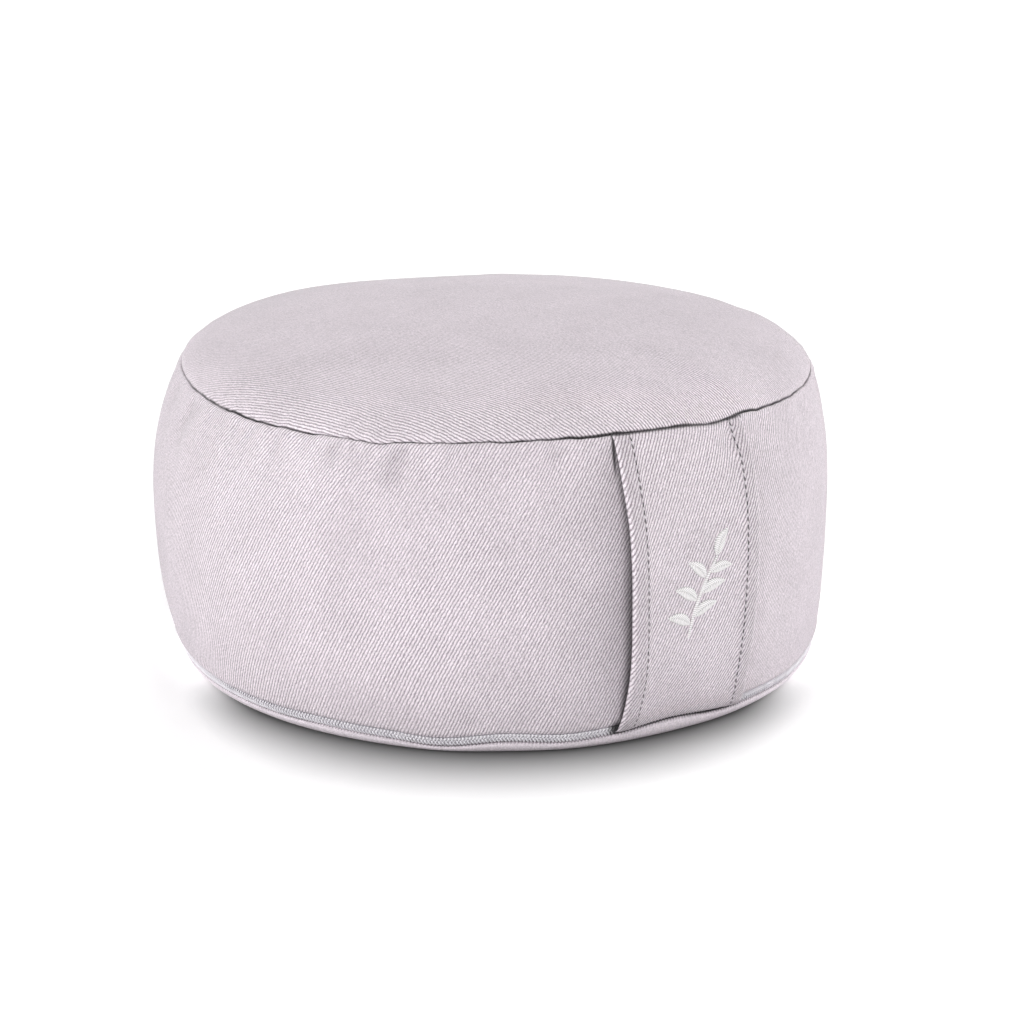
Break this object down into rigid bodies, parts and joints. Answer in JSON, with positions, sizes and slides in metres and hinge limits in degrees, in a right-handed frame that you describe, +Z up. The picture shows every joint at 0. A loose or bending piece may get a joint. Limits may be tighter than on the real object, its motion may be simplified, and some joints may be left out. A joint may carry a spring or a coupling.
{
  "type": "round floor cushion with a carry band",
  "caption": "Round drum-shaped floor cushion of twill cloth with a domed top, a zip round its foot and a flat carry band up its side.",
  "frame": {"origin": "centre of the flat base, on the surface that the cushion rests on", "axes": "+Z up through the crown; -Y out through the middle of the carry band; +X to the right of someone who faces the band"},
  "size_m": [0.3121, 0.3214, 0.1585],
  "materials": {
    "cotton_twill": "matt lilac-grey cotton in a diagonal twill",
    "zip_tape": "smooth cool grey woven tape",
    "zip_coil": "satin grey-white nylon coil",
    "thread": "silky light grey sewing and embroidery thread"
  },
  "bodies": {
    "root": {"filled_cushion": "cotton_twill", "carry_band": "cotton_twill", "zip_tape": "zip_tape", "zip_coil": "zip_coil"}
  },
  "joints": []
}
